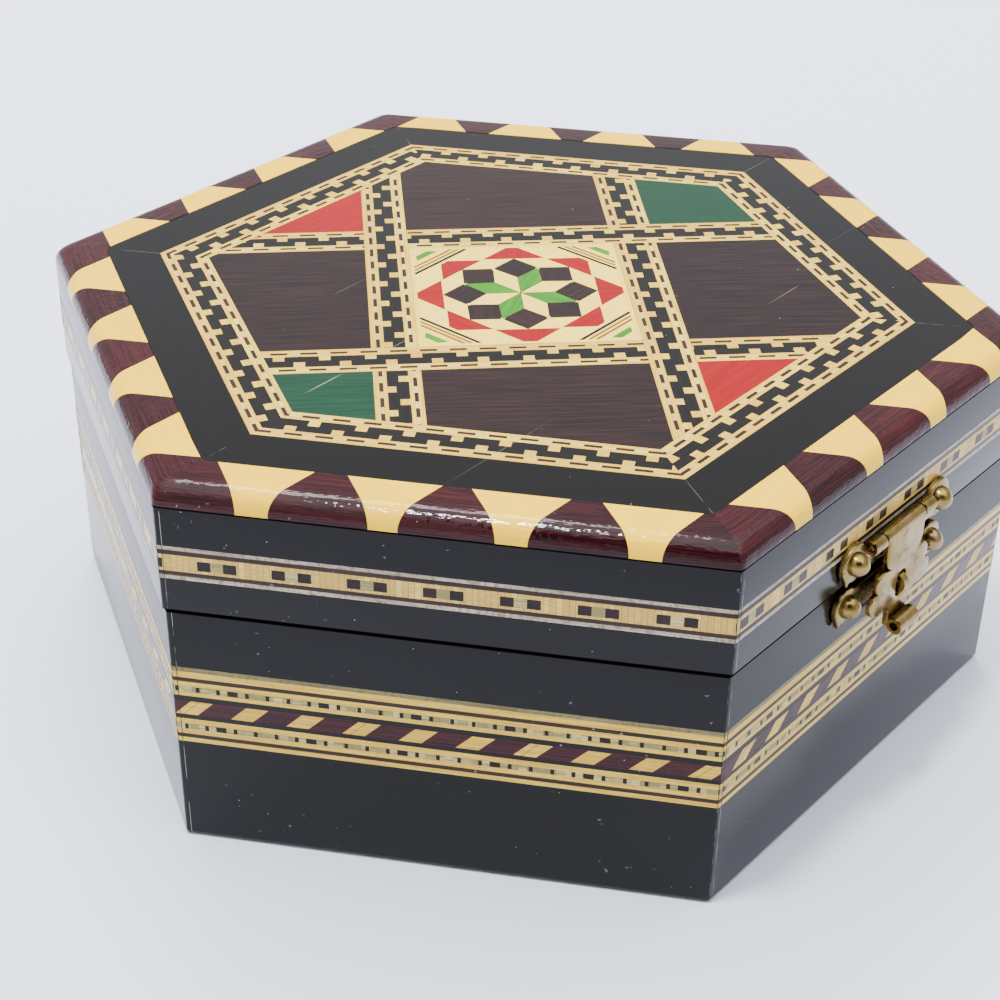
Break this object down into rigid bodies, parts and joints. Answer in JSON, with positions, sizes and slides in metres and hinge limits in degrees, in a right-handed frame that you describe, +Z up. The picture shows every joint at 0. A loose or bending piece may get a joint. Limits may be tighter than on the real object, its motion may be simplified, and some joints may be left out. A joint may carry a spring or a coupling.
{
  "type": "marquetry jewelry box",
  "caption": "Hexagonal wooden trinket box with a hinged lid, geometric marquetry on the top and sides, rounded two-tone edging and a small brass hasp.",
  "frame": {"origin": "centre of the flat underside, on the axis of the hexagon", "axes": "+Z up; the hasp faces -Y and the hinges are at +Y; +X runs through two corners of the hexagon, to the right seen from the hasp's side"},
  "size_m": [0.16, 0.147, 0.0627],
  "materials": {
    "ebonised_wood": "gloss varnish",
    "carcass_wood": "satin",
    "edging_wood": "gloss varnish",
    "wine_veneer": "gloss varnish",
    "banding_wood": "gloss varnish",
    "green_veneer": "gloss varnish",
    "red_veneer": "gloss varnish",
    "medallion_wood": "gloss varnish",
    "aged_brass": "aged"
  },
  "bodies": {
    "body": {"body_floor": "carcass_wood", "body_wall_front": "ebonised_wood", "body_wall_front_right": "ebonised_wood", "body_wall_back_right": "ebonised_wood", "body_wall_back": "ebonised_wood", "body_wall_back_left": "ebonised_wood", "body_wall_front_left": "ebonised_wood", "body_inlay_band": "banding_wood", "catch_plate": "aged_brass", "catch_nail_left": "aged_brass", "catch_nail_right": "aged_brass", "hinge_left_body_leaf": "aged_brass", "hinge_left_pin": "aged_brass", "hinge_right_body_leaf": "aged_brass", "hinge_right_pin": "aged_brass"},
    "lid": {"lid_wall_front": "ebonised_wood", "lid_wall_front_right": "ebonised_wood", "lid_wall_back_right": "ebonised_wood", "lid_wall_back": "ebonised_wood", "lid_wall_back_left": "ebonised_wood", "lid_wall_front_left": "ebonised_wood", "lid_inlay_band": "banding_wood", "lid_top_board": "carcass_wood", "lid_edging_front": "edging_wood", "lid_edging_front_right": "edging_wood", "lid_edging_back_right": "edging_wood", "lid_edging_back": "edging_wood", "lid_edging_back_left": "edging_wood", "lid_edging_front_left": "edging_wood", "lid_border_front": "ebonised_wood", "lid_border_front_right": "ebonised_wood", "lid_border_back_right": "ebonised_wood", "lid_border_back": "ebonised_wood", "lid_border_back_left": "ebonised_wood", "lid_border_front_left": "ebonised_wood", "lid_banding_lattice": "banding_wood", "lid_medallion": "medallion_wood", "lid_panel_back_right": "wine_veneer", "lid_panel_back_left": "wine_veneer", "lid_panel_front_left": "wine_veneer", "lid_panel_front_right": "wine_veneer", "lid_triangle_back": "red_veneer", "lid_triangle_front": "red_veneer", "lid_kite_right": "green_veneer", "lid_kite_left": "green_veneer", "hasp_plate": "aged_brass", "hasp_pin": "aged_brass", "hasp_nail_left": "aged_brass", "hasp_nail_right": "aged_brass", "hinge_left_lid_leaf": "aged_brass", "hinge_right_lid_leaf": "aged_brass"},
    "hasp": {"hasp_leaf": "aged_brass"}
  },
  "joints": [
    {"name": "lid_hinge", "type": "hinge", "parent": "body", "child": "lid", "pos_m": [0, 0.071, 0.042], "axis": [-1, 0, 0], "range_deg": [0, 105]},
    {"name": "hasp_hinge", "type": "hinge", "parent": "lid", "child": "hasp", "pos_m": [0.0005, -0.07075, 0.0474], "axis": [-1, 0, 0], "range_deg": [0, 160]}
  ]
}
